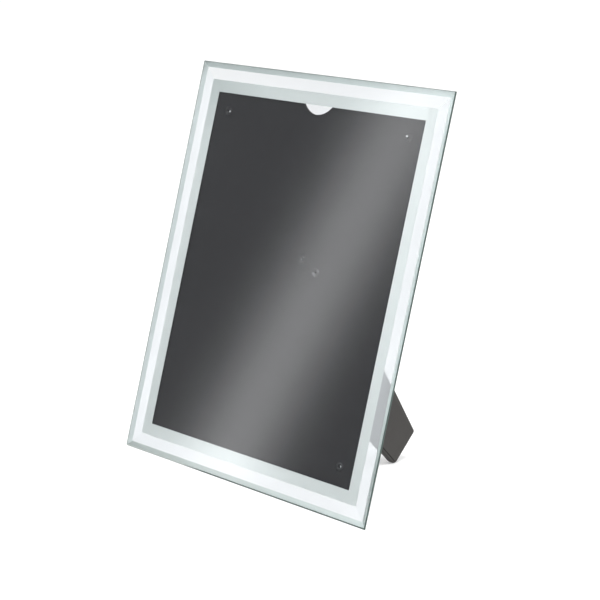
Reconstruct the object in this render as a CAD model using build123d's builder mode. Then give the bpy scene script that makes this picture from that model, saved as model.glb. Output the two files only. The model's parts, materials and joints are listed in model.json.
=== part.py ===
from build123d import *

import math
import os

# Frameless glass table frame for a 203 x 254 mm print, standing on its bottom edge and an opened leg.
# Row axes: +X to the viewer's right, +Y to the back, +Z up. The front faces -Y and leans back.
# The origin is the middle of the glass edge that touches the table. All sizes are in millimetres.

# Glass and mirror border
window_width = 200.9
window_height = 250.9
mirror_width = 8.75
clear_width = 8.35
bevel_width = 4.15
bevel_depth = 1.7
glass_thickness = 3.0
mirror_thickness = 0.1
lean_angle = 16.67

# Print slot and back panel
tape_width = 4.0
tape_thickness = 1.0
tape_setback = 0.3
panel_setback = 2.8
panel_thickness = 2.0
notch_radius = 17.7
notch_rise = 5.2

# Rivets, clinched on the front of the panel
rivet_radius = 1.6
rivet_head_radius = 3.2
rivet_head_height = 0.9
clinch_radius = 3.3
clinch_height = 0.6
clinch_hole_radius = 0.9
clinch_slit = 0.45
clinch_petals = 6
rivet_clearance = 0.02

# Hanging eyes at three corners of the panel
hanger_inset = 12.95
hanger_width = 9.0
hanger_thickness = 1.0
hanger_flat = 4.5
hanger_ramp = 2.5
hanger_rise = 1.8
hanger_eye_reach = 12.0
hanger_eye_radius = 2.6

# Hinge of the stand leg
hinge_offset = 22.8
hinge_height = 161.3
pin_radius = 1.5
pin_clearance = 0.05
pin_head_radius = 2.4
pin_head_height = 1.2
knuckle_radius = 4.0
knuckle_length = 23.0
knuckle_lift = 0.5
ear_length = 7.0
washer_radius = 3.6
washer_thickness = 0.5
bracket_thickness = 1.2
bracket_width = 23.0
bracket_margin = 1.5
bracket_corner = 3.5
hinge_rivet_side = 7.2
hinge_rivet_drop = 3.5
stop_reach = 9.0
stop_width = 2.4

# Stand leg
leg_thickness = 6.0
leg_past_square = 13.6
leg_foot_reach = 97.35
leg_foot_edge = 29.6
leg_foot_slope = 23.7
leg_under_slope = 55.9
leg_foot_radius = 3.6
leg_heel_radius = 2.2
leg_root_radius = 2.0
leg_root_gap = 0.6
leg_edge_round = 1.3
leg_groove_inset = 2.3
leg_groove_width = 0.7
leg_groove_depth = 0.4

# Sizes worked out from those above
border = mirror_width + clear_width + bevel_width
glass_width = window_width + 2 * border
glass_height = window_height + 2 * border
edge_thickness = glass_thickness - bevel_depth
mirror_back = glass_thickness + mirror_thickness
panel_front = mirror_back + tape_thickness
panel_back = panel_front + panel_thickness
panel_width = window_width + 2 * (mirror_width - panel_setback)
panel_height = window_height + 2 * (mirror_width - panel_setback)
middle_height = glass_height / 2
panel_top = middle_height + panel_height / 2
tape_outer_width = panel_width - 2 * tape_setback
tape_outer_height = panel_height - 2 * tape_setback
tape_bottom = middle_height - tape_outer_height / 2
pin_depth = panel_back + bracket_thickness + knuckle_lift + knuckle_radius
ear_start = knuckle_length / 2 + pin_clearance + washer_thickness
ear_end = ear_start + ear_length

# Directions: up along the face, and square out of its back
lean = math.radians(lean_angle)
up_face = Vector(0, math.sin(lean), math.cos(lean))
out_back = Vector(0, math.cos(lean), -math.sin(lean))

face = Plane(origin=(0, 0, 0), x_dir=(1, 0, 0), z_dir=-out_back)


def layer(depth):
    """Plane parallel to the face, this far behind the front of the glass; local y runs up the face."""
    return face.offset(edge_thickness - depth)


def section(across, up, depth):
    """Plane square to the hinge pin; local x runs along X, local y out of the back, local z up the face."""
    spot = Vector(across, 0, 0) + up_face * up + out_back * (depth - edge_thickness)
    return Plane(origin=spot, x_dir=(1, 0, 0), z_dir=up_face)


def save(builder, name):
    builder.part.label = name
    export_step(builder.part, f"parts/{name}.step")


os.makedirs("parts", exist_ok=True)

# Glass pane: a thin square edge, then a bevel that narrows it to its back face
with BuildPart() as glass_pane:
    with BuildSketch(layer(edge_thickness)):
        with Locations((0, middle_height)):
            Rectangle(glass_width, glass_height)
    extrude(amount=edge_thickness)
    with BuildSketch(layer(edge_thickness)):
        with Locations((0, middle_height)):
            Rectangle(glass_width, glass_height)
    with BuildSketch(layer(glass_thickness)):
        with Locations((0, middle_height)):
            Rectangle(glass_width - 2 * bevel_width, glass_height - 2 * bevel_width)
    loft(ruled=True)
save(glass_pane, "glass_pane")

# Mirror border: the silvering and its paint, a thin ring on the back of the glass
with BuildPart() as mirror_border:
    with BuildSketch(layer(mirror_back)):
        with Locations((0, middle_height)):
            Rectangle(window_width + 2 * mirror_width, window_height + 2 * mirror_width)
            Rectangle(window_width, window_height, mode=Mode.SUBTRACT)
    extrude(amount=mirror_thickness)
save(mirror_border, "mirror_border")

# Tape strips: they hold the panel on three sides, and the slot between them is open at the top
with BuildPart() as tape_foot:
    with BuildSketch(layer(panel_front)):
        with Locations((0, tape_bottom)):
            Rectangle(tape_outer_width, tape_width, align=(Align.CENTER, Align.MIN))
    extrude(amount=tape_thickness)
save(tape_foot, "tape_bottom")

for side, name in ((-1, "tape_left"), (1, "tape_right")):
    with BuildPart() as tape_side:
        with BuildSketch(layer(panel_front)):
            with Locations((side * (tape_outer_width - tape_width) / 2, tape_bottom + tape_width)):
                Rectangle(tape_width, tape_outer_height - tape_width, align=(Align.CENTER, Align.MIN))
        extrude(amount=tape_thickness)
    save(tape_side, name)

# Places of the rivets on the panel: across, and up the face
hanger_side = window_width / 2 - hanger_inset
hanger_up = window_height / 2 - hanger_inset
hangers = {
    "top_left": (-hanger_side, middle_height + hanger_up, 135),
    "top_right": (hanger_side, middle_height + hanger_up, 45),
    "bottom_right": (hanger_side, middle_height - hanger_up, -45),
}
hinge_rivets = {
    "left": (hinge_offset - hinge_rivet_side, hinge_height + hinge_rivet_drop),
    "right": (hinge_offset + hinge_rivet_side, hinge_height - hinge_rivet_drop),
}
rivet_spots = [spot[:2] for spot in hangers.values()] + list(hinge_rivets.values())

# Back panel with its thumb notch and rivet holes
with BuildPart() as back_panel:
    with BuildSketch(layer(panel_back)):
        with Locations((0, middle_height)):
            Rectangle(panel_width, panel_height)
        with Locations((0, panel_top + notch_rise)):
            Circle(notch_radius, mode=Mode.SUBTRACT)
        with Locations(*rivet_spots):
            Circle(rivet_radius, mode=Mode.SUBTRACT)
    extrude(amount=panel_thickness)
save(back_panel, "back_panel")


def clinched_rivet(across, up, held_thickness):
    """Rivet through the panel and a plate behind it: round head at the back, split roll at the front."""
    shank = rivet_radius - rivet_clearance
    stack = panel_thickness + held_thickness
    spot = layer(panel_front).origin + Vector(across, 0, 0) + up_face * up
    profile_plane = Plane(origin=spot, x_dir=(1, 0, 0), z_dir=-up_face)
    slit_reach = clinch_radius - shank
    hole_end = -panel_thickness / 2
    with BuildPart() as rivet:
        with BuildSketch(profile_plane):
            with BuildLine():
                Polyline(
                    (0, hole_end),
                    (clinch_hole_radius, hole_end),
                    (clinch_hole_radius, clinch_height / 2),
                )
                ThreePointArc(
                    (clinch_hole_radius, clinch_height / 2),
                    ((clinch_hole_radius + clinch_radius) / 2, clinch_height),
                    (clinch_radius, 0),
                )
                Polyline((clinch_radius, 0), (shank, 0), (shank, -stack), (rivet_head_radius, -stack))
                TangentArc((0, -stack - rivet_head_height), (rivet_head_radius, -stack), tangent=(1, 0))
                Line((0, -stack - rivet_head_height), (0, hole_end))
            make_face()
        revolve(axis=Axis(spot, -out_back))
        with BuildSketch(Plane(origin=spot, x_dir=(1, 0, 0), z_dir=-out_back)):
            with PolarLocations(shank + slit_reach / 2, clinch_petals):
                Rectangle(slit_reach, clinch_slit)
        extrude(amount=clinch_height, mode=Mode.SUBTRACT)
    return rivet


# Hanging eyes: a strip that lies on the panel at its rivet and steps off it at its eye
for corner, (across, up, turn) in hangers.items():
    along = Vector(math.cos(math.radians(turn)), 0, 0) + up_face * math.sin(math.radians(turn))
    spot = layer(panel_back).origin + Vector(across, 0, 0) + up_face * up
    side_plane = Plane(origin=spot, x_dir=along, z_dir=along.cross(out_back))
    ramp_end = hanger_flat + hanger_ramp
    tip = hanger_eye_reach + hanger_width / 2
    with BuildPart() as hanger_plate:
        with BuildSketch(side_plane):
            with BuildLine():
                Polyline(
                    (-hanger_width / 2, 0),
                    (hanger_flat, 0),
                    (ramp_end, hanger_rise),
                    (tip, hanger_rise),
                    (tip, hanger_rise + hanger_thickness),
                    (ramp_end, hanger_rise + hanger_thickness),
                    (hanger_flat, hanger_thickness),
                    (-hanger_width / 2, hanger_thickness),
                    close=True,
                )
            make_face()
        extrude(amount=hanger_width / 2, both=True)
        with BuildSketch(Plane(origin=spot, x_dir=along, z_dir=out_back)):
            with Locations((hanger_eye_reach / 2, 0)):
                SlotCenterToCenter(hanger_eye_reach, hanger_width)
            Circle(rivet_radius, mode=Mode.SUBTRACT)
            with Locations((hanger_eye_reach, 0)):
                Circle(hanger_eye_radius, mode=Mode.SUBTRACT)
        extrude(amount=hanger_rise + hanger_thickness, mode=Mode.INTERSECT)
    save(hanger_plate, f"hanger_plate_{corner}")
    save(clinched_rivet(across, up, hanger_thickness), f"hanger_rivet_{corner}")

for side, (across, up) in hinge_rivets.items():
    save(clinched_rivet(across, up, bracket_thickness), f"hinge_rivet_{side}")

# Opened leg: radial and side directions of its plate, seen along the pin
opened = math.radians(leg_past_square)
radial = Vector(1, 0, 0) * math.sin(opened) + out_back * math.cos(opened)
sideways = Vector(1, 0, 0) * math.cos(opened) - out_back * math.sin(opened)

# Hinge bracket: base plate, two ears round the pin, and a stop horn on the lower ear
base_drop = pin_depth - panel_back
base_top = bracket_thickness - base_drop
stop_gap = leg_thickness / 2 + pin_clearance


def in_section(reach, side):
    """Point of a section through the pin, by its distances along and across the opened leg."""
    across = reach * math.sin(opened) + side * math.cos(opened)
    back = reach * math.cos(opened) - side * math.sin(opened)
    return (across, back)


with BuildPart() as hinge_bracket:
    with BuildSketch(layer(panel_back)):
        with Locations((hinge_offset, hinge_height)):
            RectangleRounded(bracket_width, 2 * (ear_end + bracket_margin), bracket_corner)
        with Locations(*hinge_rivets.values()):
            Circle(rivet_radius, mode=Mode.SUBTRACT)
    extrude(amount=-bracket_thickness)
    for ear_foot in (-ear_end, ear_start):
        with BuildSketch(section(hinge_offset, hinge_height + ear_foot, pin_depth)):
            Circle(knuckle_radius)
            with Locations((0, base_top)):
                Rectangle(2 * knuckle_radius, -base_top, align=(Align.CENTER, Align.MIN))
            Circle(pin_radius + rivet_clearance, mode=Mode.SUBTRACT)
        extrude(amount=ear_length)
    with BuildSketch(section(hinge_offset, hinge_height - ear_end, pin_depth)):
        with BuildLine():
            Polyline(
                in_section(pin_radius, stop_gap),
                in_section(stop_reach, stop_gap),
                in_section(stop_reach, stop_gap + stop_width),
                (knuckle_radius + stop_width, base_top),
                (knuckle_radius, base_top),
                close=True,
            )
        make_face()
    extrude(amount=ear_length)
save(hinge_bracket, "hinge_bracket")

# Hinge pin: headed at the top, peened over below the lower ear
with BuildPart() as hinge_pin:
    with BuildSketch(section(hinge_offset, hinge_height - ear_end, pin_depth)):
        Circle(pin_radius)
    extrude(amount=2 * ear_end)
    with BuildSketch(section(hinge_offset, hinge_height + ear_end, pin_depth)):
        Circle(pin_head_radius)
    extrude(amount=pin_head_height)
    with BuildSketch(section(hinge_offset, hinge_height - ear_end, pin_depth)):
        Circle(pin_head_radius)
    extrude(amount=-pin_head_height)
    rims = hinge_pin.edges().filter_by(GeomType.CIRCLE).group_by(Axis((0, 0, 0), up_face))
    fillet(rims[0] + rims[-1], radius=pin_head_height / 2)
save(hinge_pin, "hinge_pin")

# Washers between the leg's knuckle and the ears
for start, name in ((ear_start - washer_thickness, "upper"), (-ear_start, "lower")):
    with BuildPart() as hinge_washer:
        with BuildSketch(section(hinge_offset, hinge_height + start, pin_depth)):
            Circle(washer_radius)
            Circle(pin_radius + pin_clearance, mode=Mode.SUBTRACT)
        extrude(amount=washer_thickness)
    save(hinge_washer, f"hinge_washer_{name}")

# Stand leg: the foot's rounded corner just touches the table, and a groove follows the under edge
pin_line = Vector(hinge_offset, 0, 0) + out_back * (pin_depth - edge_thickness)
leg_plane = Plane(origin=pin_line, x_dir=radial, z_dir=sideways)
reach_fall = -radial.Z
rise = up_face.Z
slope_length = math.hypot(reach_fall, rise)
foot_slope = math.radians(leg_foot_slope)
under_slope = math.radians(leg_under_slope)
flat_radius = leg_foot_radius - leg_edge_round
flat_half = leg_thickness / 2 - leg_edge_round
foot_drop = flat_radius * slope_length + flat_half * abs(sideways.Z) + leg_edge_round
foot_centre_up = (foot_drop + leg_foot_reach * reach_fall - pin_line.Z) / rise
half_corner = (foot_slope + under_slope) / 2
corner_reach = leg_foot_radius / math.sin(half_corner)
corner_tilt = (foot_slope - under_slope) / 2
foot_tip = (
    leg_foot_reach - corner_reach * math.sin(corner_tilt),
    foot_centre_up - corner_reach * math.cos(corner_tilt),
)
heel_tip = (
    foot_tip[0] + leg_foot_edge * math.sin(foot_slope),
    foot_tip[1] + leg_foot_edge * math.cos(foot_slope),
)
root_reach = knuckle_radius + leg_root_gap
root_top = (root_reach, hinge_height + knuckle_length / 2)
root_low = (root_reach, foot_tip[1] + (foot_tip[0] - root_reach) / math.tan(under_slope))
under_length = (foot_tip[0] - root_reach) / math.sin(under_slope)
groove_middle = (
    (root_low[0] + foot_tip[0]) / 2 + leg_groove_inset * math.cos(under_slope),
    (root_low[1] + foot_tip[1]) / 2 + leg_groove_inset * math.sin(under_slope),
)

with BuildPart() as stand_leg:
    with BuildSketch(leg_plane.offset(-leg_thickness / 2)):
        with BuildLine():
            FilletPolyline(
                root_top,
                heel_tip,
                foot_tip,
                root_low,
                radius=(leg_root_radius, leg_heel_radius, leg_foot_radius, leg_root_radius),
                close=True,
            )
        make_face()
    extrude(amount=leg_thickness)
    sides = stand_leg.faces().sort_by(Axis(pin_line, sideways))
    fillet(sides[0].edges() + sides[-1].edges(), radius=leg_edge_round)
    for side in (-1, 1):
        with BuildSketch(leg_plane.offset(side * leg_thickness / 2)):
            with Locations(groove_middle):
                Rectangle(2 * under_length, leg_groove_width, rotation=leg_under_slope - 90)
        extrude(amount=-side * leg_groove_depth, mode=Mode.SUBTRACT)
    with BuildSketch(leg_plane.offset(-leg_thickness / 2)):
        with Locations((0, hinge_height)):
            Rectangle(root_reach + leg_root_radius, knuckle_length, align=(Align.MIN, Align.CENTER))
    extrude(amount=leg_thickness)
    with BuildSketch(section(hinge_offset, hinge_height - knuckle_length / 2, pin_depth)):
        Circle(knuckle_radius)
    extrude(amount=knuckle_length)
    with BuildSketch(section(hinge_offset, hinge_height - knuckle_length / 2, pin_depth)):
        Circle(pin_radius + pin_clearance)
    extrude(amount=knuckle_length, mode=Mode.SUBTRACT)
save(stand_leg, "stand_leg")
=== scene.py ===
import json

import bmesh
import bpy
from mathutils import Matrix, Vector


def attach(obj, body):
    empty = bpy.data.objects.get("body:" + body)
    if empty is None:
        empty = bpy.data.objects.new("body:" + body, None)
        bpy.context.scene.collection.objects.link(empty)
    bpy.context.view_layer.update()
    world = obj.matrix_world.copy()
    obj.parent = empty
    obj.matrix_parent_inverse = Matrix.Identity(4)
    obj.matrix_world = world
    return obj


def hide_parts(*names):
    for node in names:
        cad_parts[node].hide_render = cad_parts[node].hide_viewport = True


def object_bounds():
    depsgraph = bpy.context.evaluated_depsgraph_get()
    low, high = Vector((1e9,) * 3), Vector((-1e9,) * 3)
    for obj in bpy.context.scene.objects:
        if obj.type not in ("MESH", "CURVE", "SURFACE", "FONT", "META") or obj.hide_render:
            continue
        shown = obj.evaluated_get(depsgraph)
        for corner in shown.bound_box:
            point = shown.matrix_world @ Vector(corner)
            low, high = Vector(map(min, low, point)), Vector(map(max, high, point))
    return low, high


# Frameless glass table frame: finishes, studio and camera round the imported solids.
# Everything is in metres, in the frame of the solids: +X to the viewer's right, +Y to the back, +Z up.
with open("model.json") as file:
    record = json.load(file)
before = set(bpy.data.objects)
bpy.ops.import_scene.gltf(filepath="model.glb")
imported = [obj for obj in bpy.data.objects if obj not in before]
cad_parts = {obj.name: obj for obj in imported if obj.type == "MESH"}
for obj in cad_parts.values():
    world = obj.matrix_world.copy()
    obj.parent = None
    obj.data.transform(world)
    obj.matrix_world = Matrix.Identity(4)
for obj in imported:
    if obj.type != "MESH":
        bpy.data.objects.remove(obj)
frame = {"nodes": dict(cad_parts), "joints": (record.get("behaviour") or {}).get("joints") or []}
cad_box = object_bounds()
nodes = frame["nodes"]
MM = 0.001
WHITE = (1, 1, 1, 1)

# Camera, at the photograph's viewing angle
CAMERA_PLACE = Vector((0.86549, -0.80991, 0.43788))
CAMERA_LOOK = Vector((-0.68262, 0.68731, -0.24826))
CAMERA_LENS = 106.9
SENSOR_WIDTH = 36.0

# Lamps: the place, width and watts of each
LAMPS = {
    "key_lamp": (Vector((-0.8, -1.6, 2.2)), 1.2, 16.5),
    "side_lamp": (Vector((0.45, 0.2, 1.8)), 0.4, 18.0),
}

# Light paths, long enough for light that goes to and fro in the glass
ALL_BOUNCES = 20
GLASS_BOUNCES = 16

# Floor: its colour and glow, and those seen through glass, where the glow fades away from the object
FLOOR_SIZE = 8.0
FLOOR_COLOUR = (0.7, 0.7, 0.7, 1)
FLOOR_GLOW = 0.32
FLOOR_COLOUR_THROUGH = (0.2, 0.2, 0.2, 1)
FLOOR_GLOW_THROUGH = (0.91, 0.76)
FLOOR_GLOW_REACH = (0.12, 0.6)

# Room: white, apart from the grey side that the face mirrors, with one tall narrow softbox in it
BACKGROUND_LEVEL = 1.0
ROOM_LEVEL = 1.05
GREY_SIDE_LEVEL = 0.25
GREY_SIDE_DIRECTION = (-0.69, -0.705, 0.17)
GREY_SIDE_EDGE = (0.85, 0.96)
SOFTBOX_LEVEL = 1.97
SOFTBOX_SIDEWAYS = (0.7033, -0.7056, -0.0865)
SOFTBOX_OFFSET = 0.0125
SOFTBOX_SPREAD = 0.0175

# Glass: a seamed arris round its front, wider along its foot
ARRIS = 0.35 * MM
FOOT_ARRIS = 0.9 * MM
GLASS_IOR = 1.47
CLEAR_TINTS = (0.92, 0.94, 0.96, 1), (0.89, 0.91, 0.93, 1)
POLISHED = (0.0, 0.01)

# Ground edge, and the foot's part of it, which is painted pale as light at its left and darkens to the
# glass's own green within these shares of its width from the left
EDGE_CLEAR = 0.12
EDGE_TINTS = (0.045, 0.075, 0.066, 1), (0.04, 0.07, 0.06, 1)
FOOT_EDGE_LIT_TINTS = (0.42, 0.46, 0.44, 1), (0.045, 0.075, 0.066, 1)
FOOT_EDGE_SHARES = (0.25, 0.35)

# Clear strip: for each side, the tint at its left or lower end, that at its other end, and how clear it is.
# Besides the glass's own tint, the changes by side and along each side are painted light and shade.
STRIP_LIT_TINTS = {
    "foot": ((0.86, 0.88, 0.895, 1), (0.97, 0.98, 0.99, 1), 0.5),
    "right": ((0.91, 0.93, 0.945, 1), (0.875, 0.89, 0.905, 1), 0.5),
    "top": ((0.98, 0.985, 0.99, 1), (0.84, 0.86, 0.875, 1), 0.8),
    "left": ((0.9, 0.92, 0.935, 1), (0.94, 0.96, 0.97, 1), 0.5),
}

# Bevels: for each side, two tints in the same order, and the share of the side over which the tint changes.
# Besides the glass's own grey-green, the tints hold painted shade and painted reflection, which differ by
# side and along each side.
BEVEL_CLEAR = 0.15
BEVEL_SHADED_TINTS = {
    "foot": ((0.37, 0.41, 0.39, 1), (0.635, 0.7, 0.675, 1), 1.0),
    "right": ((0.38, 0.43, 0.41, 1), (0.85, 0.95, 0.92, 1), 0.3),
    "top": ((0.535, 0.6, 0.585, 1), (0.82, 0.92, 0.9, 1), 1.0),
    "left": ((0.6, 0.655, 0.645, 1), (0.58, 0.635, 0.625, 1), 1.0),
}

# Silvering: the hair of air in front of it, the slight warp of its right strip, and the painted darker
# reflection at its left corners
SILVER_GAP = 0.05 * MM
SILVER_COLOURS = (0.715, 0.745, 0.71, 1), (0.745, 0.77, 0.735, 1)
WARP_SLOPE = 0.0175
DIM_REFLECTION_REACH = 75 * MM
DIM_REFLECTION_SHARES = {"top": 1.0, "foot": 0.3}
DIM_REFLECTION_COLOUR = (0.585, 0.62, 0.59, 1)

# Blacked rivets: lighter specks of rubbed metal that are partly painted glints, and bright spots painted as
# glints, each spot so far right and up from its rivet's middle
BLACKED_COLOURS = (0.007, 0.007, 0.008, 1), (0.015, 0.015, 0.016, 1)
RUBBED_METAL_AND_GLINT = (0.2, 0.2, 0.2, 1)
SPECK_SPACING = 3.6 * MM
SPECK_EDGE = (0.22, 0.32)
GLINT_COLOUR = (0.86, 0.86, 0.85, 1)
GLINT_EDGE = (0.52 * MM, 0.78 * MM)
GLINT_SPOTS = {
    "hanger_rivet_top_left": (1.85 * MM, -0.2 * MM),
    "hanger_rivet_top_right": (-1.0 * MM, 0.9 * MM),
    "hanger_rivet_bottom_right": (1.1 * MM, 0.5 * MM),
}

# Other finishes: the two colours of each one's pattern, and those of the leg's rubbed edges and of the
# painted shade in its groove
PAINT_COLOURS = (0.2, 0.215, 0.215, 1), (0.27, 0.28, 0.28, 1)
PANEL_COLOURS = (0.0252, 0.0242, 0.0257, 1), (0.0302, 0.0292, 0.0307, 1)
LEG_COLOURS = (0.056, 0.053, 0.05, 1), (0.066, 0.063, 0.06, 1)
LEG_RUBBED = (0.2, 0.19, 0.18, 1)
LEG_GROOVE_SHADE = (0.012, 0.011, 0.01, 1)
ZINC_COLOURS = (0.52, 0.52, 0.5, 1), (0.68, 0.67, 0.64, 1)
ENAMEL_COLOURS = (0.016, 0.016, 0.017, 1), (0.024, 0.024, 0.025, 1)
NYLON_COLOURS = (0.74, 0.72, 0.66, 1), (0.82, 0.8, 0.75, 1)
FOAM_COLOURS = (0.62, 0.61, 0.58, 1), (0.84, 0.83, 0.8, 1)

# Directions of the leaning face: the leg's pin runs up the face
across = Vector((1, 0, 0))
up_face = Vector(frame["joints"][0]["axis"]).normalized()
out_back = Vector((0, up_face.z, -up_face.y))


def points(node):
    """The points of a solid."""
    return [vertex.co for vertex in nodes[node].data.vertices]


def reach(node, direction):
    """Lowest and highest distance of a solid's points along a direction."""
    distances = [point.dot(direction) for point in points(node)]
    return min(distances), max(distances)


# Sizes of the glass and its silvering, read from the solids
pane_front, pane_back = reach("glass_pane", out_back)
pane_half = reach("glass_pane", across)[1]
pane_height = reach("glass_pane", up_face)[1]
rear_points = [point for point in points("glass_pane") if point.dot(out_back) > pane_back - SILVER_GAP]
bevel_inset = pane_half - max(point.x for point in rear_points)
strip_inset = pane_half - reach("mirror_border", across)[1]
window_inset = pane_half - min(abs(point.x) for point in points("mirror_border"))
silver_back = reach("mirror_border", out_back)[1]


class Graph:
    """Adds nodes to a shader tree and joins them. An input takes a value or another node's output."""

    def __init__(self, tree):
        self.tree = tree

    def put(self, socket, value):
        if isinstance(value, bpy.types.NodeSocket):
            self.tree.links.new(value, socket)
        else:
            socket.default_value = value

    def node(self, kind, inputs, output=0, **settings):
        made = self.tree.nodes.new("ShaderNode" + kind)
        for name, value in settings.items():
            setattr(made, name, value)
        for key, value in inputs.items():
            self.put(made.inputs[key], value)
        return made.outputs[output]

    def math(self, operation, *values):
        return self.node("Math", dict(enumerate(values)), operation=operation)

    def dot(self, vector, direction):
        return self.node("VectorMath", {0: vector, 1: direction}, "Value", operation="DOT_PRODUCT")

    def remap(self, value, old, new, kind="LINEAR"):
        ends = {"From Min": old[0], "From Max": old[1], "To Min": new[0], "To Max": new[1]}
        return self.node("MapRange", {"Value": value, **ends}, interpolation_type=kind)

    def number(self, factor, first, second):
        """Mix of two numbers, by the number sockets of the Mix node."""
        return self.node("Mix", {0: factor, 2: first, 3: second})

    def colour(self, factor, first, second):
        """Mix of two colours, by the colour sockets of the Mix node."""
        return self.node("Mix", {0: factor, 6: first, 7: second}, 2, data_type="RGBA")

    def ray(self, fact):
        """One fact about the ray that looks at the surface, such as its kind."""
        return self.node("LightPath", {}, fact)

    def through_glass(self):
        """1 for rays that went straight through glass, and 0 for those that were mirrored or scattered."""
        turned = self.math("ADD", self.ray("Glossy Depth"), self.ray("Diffuse Depth"))
        return self.math("GREATER_THAN", self.ray("Is Transmission Ray"), turned)


class Finish(Graph):
    """A procedural material, with its patterns laid out in metres in the object's own frame."""

    def __init__(self, name, **plain_values):
        self.material = bpy.data.materials.new(name)
        self.material.use_nodes = True
        super().__init__(self.material.node_tree)
        self.shader = self.tree.nodes["Principled BSDF"]
        self.output = self.tree.nodes["Material Output"]
        for socket, value in plain_values.items():
            self.set(socket.replace("_", " ").title().replace("Ior", "IOR"), value)

    def set(self, socket, value):
        self.put(self.shader.inputs[socket], value)

    def places(self, stretch=(1, 1, 1)):
        place = self.node("TexCoord", {}, "Object")
        return self.node("Mapping", {"Vector": place, "Scale": stretch})

    def away(self, point):
        """Distance from a point."""
        return self.node("VectorMath", {0: self.places(), 1: point}, "Value", operation="DISTANCE")

    def noise(self, size, detail, stretch=(1, 1, 1)):
        """Soft noise from 0 to 1, with features of about this size."""
        inputs = {"Vector": self.places(stretch), "Scale": 1 / size, "Detail": detail, "Roughness": 0.55}
        return self.node("TexNoise", inputs)

    def cells(self, size):
        """Cells of about this size, from 0 in their middles."""
        return self.node("TexVoronoi", {"Vector": self.places(), "Scale": 1 / size})

    def paint(self, pattern, colours):
        """Lets the colour follow a pattern, from the first colour to the second."""
        self.set("Base Color", self.colour(pattern, *colours))

    def dull(self, pattern, rough, within=(0.3, 0.7)):
        """Lets the roughness follow a pattern, while that goes from one end of a range to the other."""
        self.set("Roughness", self.remap(pattern, within, rough))

    def bumps(self, height, depth, strength=1.0):
        inputs = {"Strength": strength, "Distance": depth, "Height": height}
        self.set("Normal", self.node("Bump", inputs))


def side_run(side, shares):
    """The run of a tint along one side of the pane, between two shares of its length."""
    along = up_face if side in ("left", "right") else across
    start, end = reach("glass_pane", along)
    return along, [start + share * (end - start) for share in shares]


def glass_finish(name, tints, clear, rough, run=None):
    """Glass that lets lamplight through to what is behind it, with faint wipe marks in its polish.

    It goes from the first tint to the second by those marks, or else along a run: a direction and two ends.
    """
    glass = Finish(name, ior=GLASS_IOR, transmission_weight=clear)
    marks = glass.noise(size=60 * MM, detail=4, stretch=(1, 3, 1))
    share = marks
    if run:
        direction, ends = run
        share = glass.remap(glass.dot(glass.places(), direction), ends, (0, 1))
    glass.paint(share, tints)
    glass.dull(marks, rough, within=(0.35, 0.8))
    passed = glass.node("BsdfTransparent", {"Color": tints[0]})
    shown = glass.node("MixShader", {0: glass.ray("Is Shadow Ray"), 1: glass.shader.outputs[0], 2: passed})
    glass.put(glass.output.inputs["Surface"], shown)
    return glass


def clear_glass():
    """The polished faces in front of the silvering and in the window."""
    return glass_finish("clear_glass", CLEAR_TINTS, 1.0, POLISHED).material


def strip_glass(side):
    """One side of the clear border between bevel and silvering, with the slight milkiness that it shows, and
    painted light and shade in its tint along the side.
    """
    first, second, clear = STRIP_LIT_TINTS[side]
    run = side_run(side, (0, 1))
    return glass_finish("strip_glass_" + side, (first, second), clear, POLISHED, run).material


def bevel_glass(side):
    """The bevel of one side, greyer and greener than the face, with fine grinding lines; its tint along the
    side is partly painted shade and painted reflection.
    """
    first, second, share = BEVEL_SHADED_TINTS[side]
    run = side_run(side, (0, share))
    glass = glass_finish("bevel_glass_" + side, (first, second), BEVEL_CLEAR, (0.04, 0.1), run)
    glass.bumps(glass.noise(size=1.2 * MM, detail=2, stretch=(1, 12, 12)), depth=0.01 * MM)
    return glass.material


def edge_glass(name, tints, run=None):
    """The ground outer edge, where the glass shows its own dark green; a paler tint on it is painted light.
    """
    glass = glass_finish(name, tints, EDGE_CLEAR, (0.3, 0.45), run)
    glass.bumps(glass.noise(size=0.5 * MM, detail=2), depth=0.02 * MM)
    return glass.material


def silvering():
    """Pale satin silver behind the glass: faintly cloudy, with a painted darker reflection at two left
    corners, warped right of the window.
    """
    silver = Finish("silvering", metallic=0.07)
    cloud = silver.noise(size=25 * MM, detail=3)
    bright = silver.colour(cloud, *SILVER_COLOURS)
    heights = {"top": pane_height - strip_inset, "foot": strip_inset}
    # Painted reflection: darker and greener towards the two left corners, most at the top.
    dim_reflection = 0.0
    for end, share in DIM_REFLECTION_SHARES.items():
        corner = across * (strip_inset - pane_half) + up_face * heights[end] + out_back * pane_back
        near = silver.remap(silver.away(corner), (0, DIM_REFLECTION_REACH), (share, 0), "SMOOTHSTEP")
        dim_reflection = silver.math("MAXIMUM", dim_reflection, near)
    silver.paint(dim_reflection, (bright, DIM_REFLECTION_COLOUR))
    silver.dull(cloud, rough=(0.02, 0.05))
    beyond = silver.math("SUBTRACT", silver.dot(silver.places(), across), pane_half - window_inset)
    silver.bumps(silver.math("MAXIMUM", beyond, 0.0), depth=WARP_SLOPE)
    return silver.material


def mirror_paint():
    """The grey paint that covers the silver at the back."""
    paint = Finish("mirror_paint")
    grain = paint.noise(size=0.6 * MM, detail=4)
    paint.paint(grain, PAINT_COLOURS)
    paint.dull(grain, rough=(0.5, 0.65))
    paint.bumps(grain, depth=0.02 * MM)
    return paint.material


def black_panel():
    """Satin black plastic with a fine moulded grain."""
    panel = Finish("black_panel", specular_ior_level=0.1)
    patches = panel.noise(size=30 * MM, detail=3)
    panel.paint(patches, PANEL_COLOURS)
    panel.dull(patches, rough=(0.42, 0.5))
    panel.bumps(panel.noise(size=0.45 * MM, detail=3), depth=0.02 * MM, strength=0.25)
    return panel.material


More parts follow.
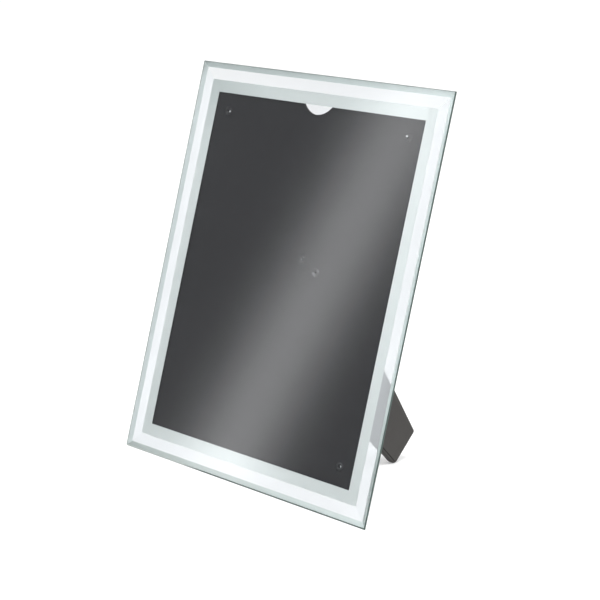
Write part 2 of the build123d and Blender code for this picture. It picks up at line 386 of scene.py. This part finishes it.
def grained_leg():
    """Dark warm grey plastic with a fine leather grain, a little paler where its edges are rubbed, and with
    painted shade in its groove and tight hollows.
    """
    leg = Finish("grained_leg", specular_ior_level=0.3)
    patches = leg.noise(size=14 * MM, detail=4)
    body = leg.colour(patches, *LEG_COLOURS)
    edges = leg.remap(leg.node("NewGeometry", {}, "Pointiness"), (0.51, 0.6), (0, 0.35))
    rubbed = leg.colour(edges, body, LEG_RUBBED)
    # Painted shade: darker where the leg's own surface closes in, as in its groove.
    open_air = leg.node("AmbientOcclusion", {"Distance": 1.5 * MM}, "AO", only_local=True)
    groove_shade = leg.remap(open_air, (0.55, 0.95), (1, 0))
    leg.paint(groove_shade, (rubbed, LEG_GROOVE_SHADE))
    grain = leg.cells(size=0.8 * MM)
    leg.dull(grain, rough=(0.48, 0.62), within=(0, 0.6))
    leg.bumps(grain, depth=0.05 * MM, strength=0.5)
    return leg.material


def zinc_plate():
    """Plated steel with a drawn grain and a slightly uneven plating."""
    metal = Finish("zinc_plate", metallic=1.0)
    metal.paint(metal.noise(size=2.5 * MM, detail=4), ZINC_COLOURS)
    drawn = metal.noise(size=0.6 * MM, detail=2, stretch=(8, 1, 1))
    metal.dull(drawn, rough=(0.24, 0.42), within=(0.25, 0.75))
    metal.bumps(drawn, depth=0.008 * MM)
    return metal.material


def blacked_rivet(rivet, bare_and_glint, metal):
    """Blacks a rivet, apart from where a lighter colour is painted on it as rubbed metal and glints."""
    mottle = rivet.noise(size=1.2 * MM, detail=3)
    black = rivet.colour(mottle, *BLACKED_COLOURS)
    rivet.paint(bare_and_glint, (black, metal))
    rivet.dull(mottle, rough=(0.35, 0.5))
    rivet.bumps(mottle, depth=0.03 * MM)
    return rivet.material


def rubbed_glinting_rivet():
    """A blacked rivet whose flared petals show lighter specks of rubbed metal, partly painted glints."""
    rivet = Finish("rubbed_glinting_rivet")
    specks = rivet.remap(rivet.cells(SPECK_SPACING), SPECK_EDGE, (1, 0))
    return blacked_rivet(rivet, specks, RUBBED_METAL_AND_GLINT)


def glinting_rivet(name):
    """A blacked rivet with one bright spot on its hammered end, painted as a glint."""
    rivet = Finish(name)
    middle = sum(points(name), Vector()) / len(points(name))
    right, up = GLINT_SPOTS[name]
    front = reach(name, out_back)[0] - middle.dot(out_back)
    spot = middle + across * right + up_face * up + out_back * front
    bare_and_glint = rivet.remap(rivet.away(spot), GLINT_EDGE, (1, 0))
    return blacked_rivet(rivet, bare_and_glint, GLINT_COLOUR)


def black_enamel():
    """Thin paint over steel, with a little orange peel."""
    enamel = Finish("black_enamel")
    patches = enamel.noise(size=4 * MM, detail=3)
    enamel.paint(patches, ENAMEL_COLOURS)
    enamel.dull(patches, rough=(0.28, 0.36))
    enamel.bumps(enamel.noise(size=1.1 * MM, detail=1), depth=0.02 * MM)
    return enamel.material


def nylon():
    """Natural nylon, milky, with turning marks."""
    plastic = Finish("nylon")
    haze = plastic.noise(size=1.5 * MM, detail=3)
    plastic.paint(haze, NYLON_COLOURS)
    plastic.dull(haze, rough=(0.35, 0.5))
    plastic.bumps(plastic.noise(size=0.3 * MM, detail=2), depth=0.01 * MM)
    return plastic.material


def foam_tape():
    """White foam with open cells at its cut edges."""
    foam = Finish("foam_tape", roughness=0.9)
    cells = foam.cells(size=0.35 * MM)
    foam.paint(cells, FOAM_COLOURS)
    foam.bumps(cells, depth=0.08 * MM)
    return foam.material


def outline(mesh, inset, depth, foot_inset):
    """The four corners of the pane's outline, drawn in by an inset, at a depth behind the standing edge."""
    half = pane_half - inset
    top = pane_height - inset
    corners = ((-half, foot_inset), (half, foot_inset), (half, top), (-half, top))
    return [mesh.verts.new(across * x + up_face * up + out_back * depth) for x, up in corners]


def band(mesh, first, second, finishes):
    """Four faces between two outlines, with a finish each for foot, right, top and left."""
    for corner, finish in enumerate(finishes):
        following = (corner + 1) % 4
        face = mesh.faces.new((first[corner], first[following], second[following], second[corner]))
        face.material_index = finish


def piece_from(mesh, name, finishes, stands_for):
    """Turns the faces into a piece that rides with the frame in place of a solid."""
    bmesh.ops.recalc_face_normals(mesh, faces=mesh.faces)
    data = bpy.data.meshes.new(name)
    mesh.to_mesh(data)
    mesh.free()
    for finish in finishes:
        data.materials.append(finish)
    piece = bpy.data.objects.new(name, data)
    bpy.context.scene.collection.objects.link(piece)
    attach(piece, "frame")
    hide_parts(stands_for)


def glass_sheet():
    """The pane, with finishes of their own for its faces, ground edge, milky strip and bevels."""
    face, edge, foot_edge = range(3)
    strips = range(3, 7)
    bevels = range(7, 11)
    # The left arris takes the paler left bevel finish, painted light where the lamp from the left catches it;
    # the other sides keep the dark ground edge.
    front = (foot_edge, edge, edge, bevels[3])

    # Each ring: its inset, its depth, the finishes of the band to the next ring, and its inset at the foot
    rings = (
        (ARRIS, pane_front, front, FOOT_ARRIS),
        (0, pane_front + ARRIS, (edge,) * 4, 0),
        (0, 0, bevels, 0),
        (bevel_inset, pane_back, strips, bevel_inset),
        (strip_inset, pane_back, (face,) * 4, strip_inset),
        (window_inset, pane_back, (face,) * 4, window_inset),
    )
    mesh = bmesh.new()
    outlines = [outline(mesh, inset, depth, foot) for inset, depth, _, foot in rings]
    for first, second, ring in zip(outlines, outlines[1:], rings):
        band(mesh, first, second, ring[2])
    for cap in (outlines[0], outlines[-1]):
        mesh.faces.new(cap).material_index = face
    ground = edge_glass("edge_glass", EDGE_TINTS)
    foot = edge_glass("foot_edge_glass", FOOT_EDGE_LIT_TINTS, side_run("foot", FOOT_EDGE_SHARES))
    finishes = [clear_glass(), ground, foot]
    finishes += [strip_glass(side) for side in STRIP_LIT_TINTS]
    finishes += [bevel_glass(side) for side in BEVEL_SHADED_TINTS]
    piece_from(mesh, "glass_sheet", finishes, "glass_pane")


def silver_border():
    """The silvering, bright towards the glass and painted everywhere else."""
    silver, paint = range(2)
    silver_front = pane_back + SILVER_GAP

    # Each ring: its inset, its depth, and the finish of the band to the next ring
    rings = (
        (strip_inset, silver_front, silver),
        (window_inset, silver_front, paint),
        (window_inset, silver_back, paint),
        (strip_inset, silver_back, paint),
    )
    mesh = bmesh.new()
    outlines = [outline(mesh, inset, depth, inset) for inset, depth, _ in rings]
    for number, ring in enumerate(rings):
        band(mesh, outlines[number], outlines[(number + 1) % len(rings)], (ring[2],) * 4)
    piece_from(mesh, "silver_border", (silvering(), mirror_paint()), "mirror_border")


def dress_solids():
    """Gives every solid that stays in view its finish, by the start of its name."""
    zinc = zinc_plate()
    finishes = {
        "back_panel": black_panel(),
        "stand_leg": grained_leg(),
        "tape": foam_tape(),
        "hanger_plate": zinc,
        "hinge_rivet": rubbed_glinting_rivet(),
        "hinge_bracket": black_enamel(),
        "hinge_pin": zinc,
        "hinge_washer": nylon(),
    }
    finishes.update({name: glinting_rivet(name) for name in GLINT_SPOTS})
    for name, node in nodes.items():
        for start, finish in finishes.items():
            if name.startswith(start):
                node.material_slots[0].material = finish


def floor_white():
    """Pale floor that the camera, mirrors and glass see as white, apart from the shadow on it."""
    finish = Finish("floor_white", roughness=1.0, specular_ior_level=0.0)
    through = finish.through_glass()
    finish.paint(through, (FLOOR_COLOUR, FLOOR_COLOUR_THROUGH))
    seen = finish.math("MAXIMUM", finish.ray("Is Camera Ray"), finish.ray("Is Glossy Ray"))
    straight = finish.math("MULTIPLY", seen, FLOOR_GLOW)
    behind = finish.remap(finish.away((0, 0, 0)), FLOOR_GLOW_REACH, FLOOR_GLOW_THROUGH, "SMOOTHSTEP")
    finish.set("Emission Color", WHITE)
    finish.set("Emission Strength", finish.number(through, straight, behind))
    return finish.material


def studio_floor():
    """A square floor that the object stands on."""
    floor_level = cad_box[0].z
    half = FLOOR_SIZE / 2
    corners = ((-half, -half), (half, -half), (half, half), (-half, half))
    data = bpy.data.meshes.new("floor")
    data.from_pydata([(x, y, floor_level) for x, y in corners], [], [(0, 1, 2, 3)])
    data.materials.append(floor_white())
    floor = bpy.data.objects.new("floor", data)
    bpy.context.scene.collection.objects.link(floor)


def studio_room():
    """White round the object for the camera and glass; for light and mirrors a grey side with a softbox."""
    world = bpy.data.worlds.new("studio")
    bpy.context.scene.world = world
    world.use_nodes = True
    room = Graph(world.node_tree)
    direction = room.node("TexCoord", {}, "Generated")
    side = room.remap(room.dot(direction, GREY_SIDE_DIRECTION), GREY_SIDE_EDGE, (0, 1), "SMOOTHSTEP")
    walls = room.remap(side, (0, 1), (ROOM_LEVEL, GREY_SIDE_LEVEL))

    # The softbox fades sideways as a bell curve does
    aside = room.math("SUBTRACT", room.dot(direction, SOFTBOX_SIDEWAYS), SOFTBOX_OFFSET)
    spread = room.math("DIVIDE", aside, SOFTBOX_SPREAD)
    fall = room.math("EXPONENT", room.math("MULTIPLY", room.math("MULTIPLY", spread, spread), -0.5))
    softbox = room.math("MULTIPLY", room.math("MULTIPLY", fall, side), SOFTBOX_LEVEL)
    lit = room.math("ADD", walls, softbox)
    straight = room.math("MAXIMUM", room.ray("Is Camera Ray"), room.through_glass())
    background = world.node_tree.nodes["Background"]
    room.put(background.inputs["Color"], WHITE)
    room.put(background.inputs["Strength"], room.number(straight, lit, BACKGROUND_LEVEL))


def soft_lamp(name, place, width, watts):
    """A square lamp aimed at the middle of the object."""
    data = bpy.data.lights.new(name, "AREA")
    data.size = width
    data.energy = watts
    lamp = bpy.data.objects.new(name, data)
    bpy.context.scene.collection.objects.link(lamp)
    lamp.location = place
    middle = (cad_box[0] + cad_box[1]) / 2
    lamp.rotation_euler = (middle - place).to_track_quat("-Z", "Y").to_euler()


def camera():
    data = bpy.data.cameras.new("camera")
    data.lens = CAMERA_LENS
    data.sensor_width = SENSOR_WIDTH
    made = bpy.data.objects.new("camera", data)
    bpy.context.scene.collection.objects.link(made)
    made.location = CAMERA_PLACE
    made.rotation_euler = CAMERA_LOOK.to_track_quat("-Z", "Y").to_euler()
    bpy.context.scene.camera = made


glass_sheet()
silver_border()
dress_solids()
studio_floor()
studio_room()
for lamp_name, lamp_values in LAMPS.items():
    soft_lamp(lamp_name, *lamp_values)
camera()
bpy.context.scene.view_settings.view_transform = "Standard"
bpy.context.scene.cycles.max_bounces = ALL_BOUNCES
bpy.context.scene.cycles.glossy_bounces = GLASS_BOUNCES
bpy.context.scene.cycles.transmission_bounces = GLASS_BOUNCES
